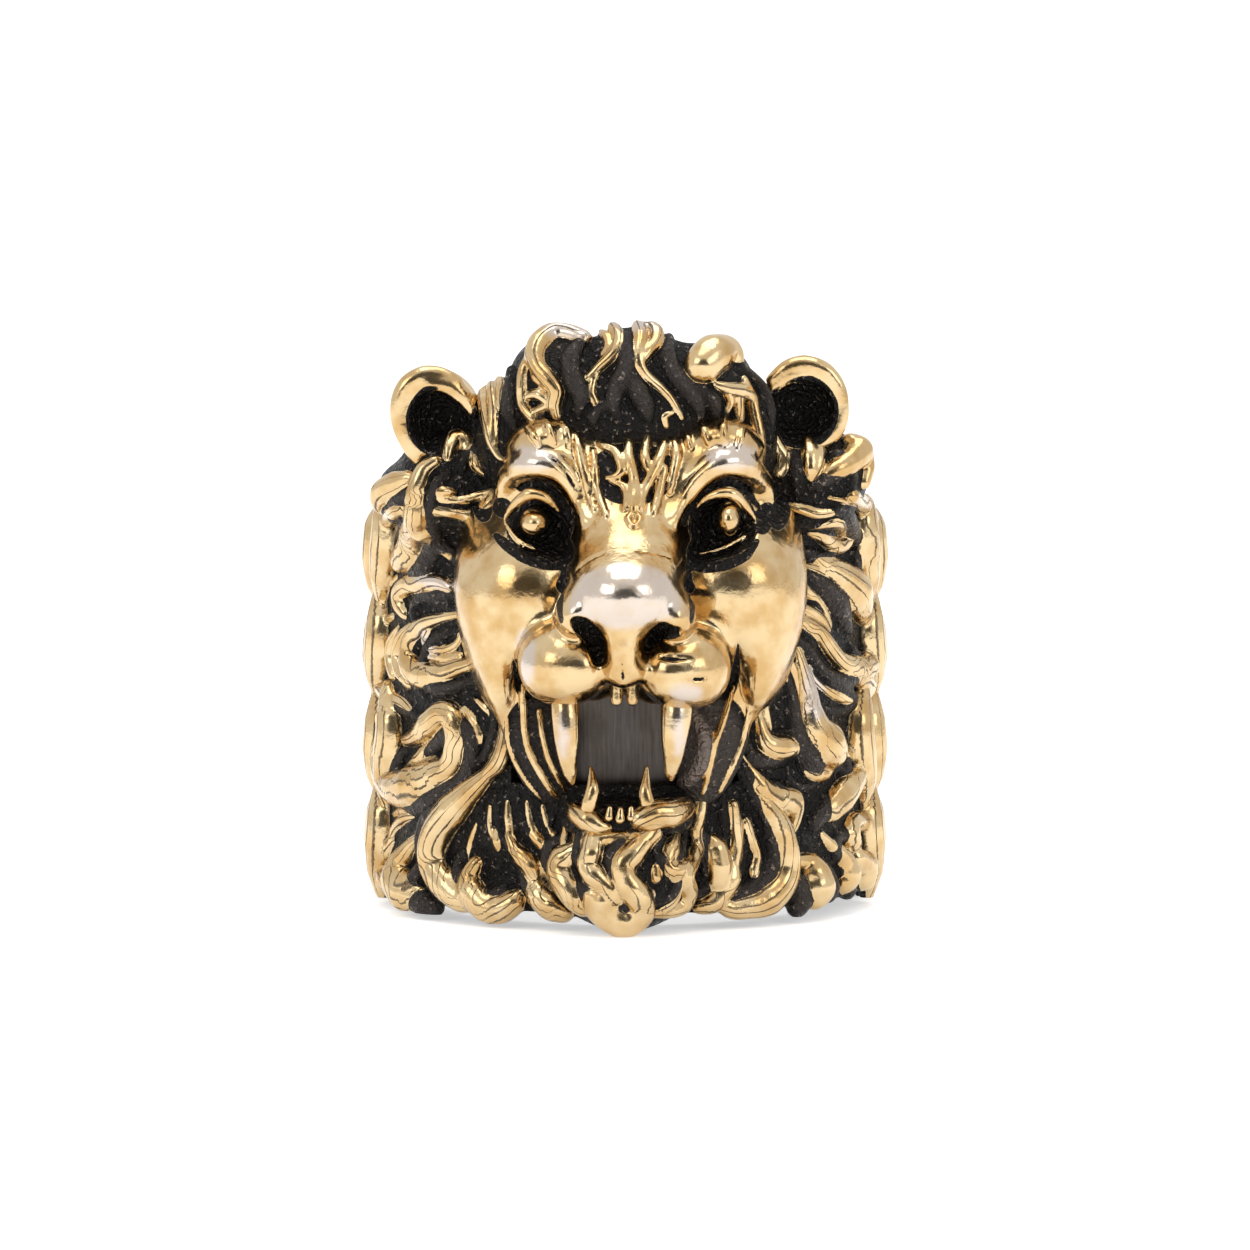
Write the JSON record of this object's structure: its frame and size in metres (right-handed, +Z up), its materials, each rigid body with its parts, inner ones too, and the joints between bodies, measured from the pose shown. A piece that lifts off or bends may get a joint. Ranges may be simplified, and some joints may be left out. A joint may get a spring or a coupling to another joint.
{
  "type": "lion-head finger ring",
  "caption": "Wide finger ring with a roaring lion's head on the front, its mane wrapped all round the band, in antiqued gold-tone brass.",
  "frame": {"origin": "middle of the ring's box, on the table it stands on", "axes": "+X to the viewer's right of the face, +Y from the face to the back of the band, +Z up along the finger"},
  "size_m": [0.027, 0.0329, 0.0308],
  "materials": {
    "gilt_brass": "gold-tone cast brass, high spots polished, hollows blackened",
    "oxidised_brass": "brushed and darkened"
  },
  "bodies": {
    "root": {"finger_sleeve": "oxidised_brass", "lion_mask": "gilt_brass", "lower_jaw": "gilt_brass", "eye_left": "gilt_brass", "eye_right": "gilt_brass", "upper_fang_left": "gilt_brass", "upper_fang_right": "gilt_brass", "lower_fang_left": "gilt_brass", "lower_fang_right": "gilt_brass", "upper_incisors": "gilt_brass", "lower_incisors": "gilt_brass", "crown": "gilt_brass", "ear_left": "gilt_brass", "ear_right": "gilt_brass", "beard": "gilt_brass", "mane_left": "gilt_brass", "mane_right": "gilt_brass", "mane_back": "gilt_brass"}
  },
  "joints": []
}
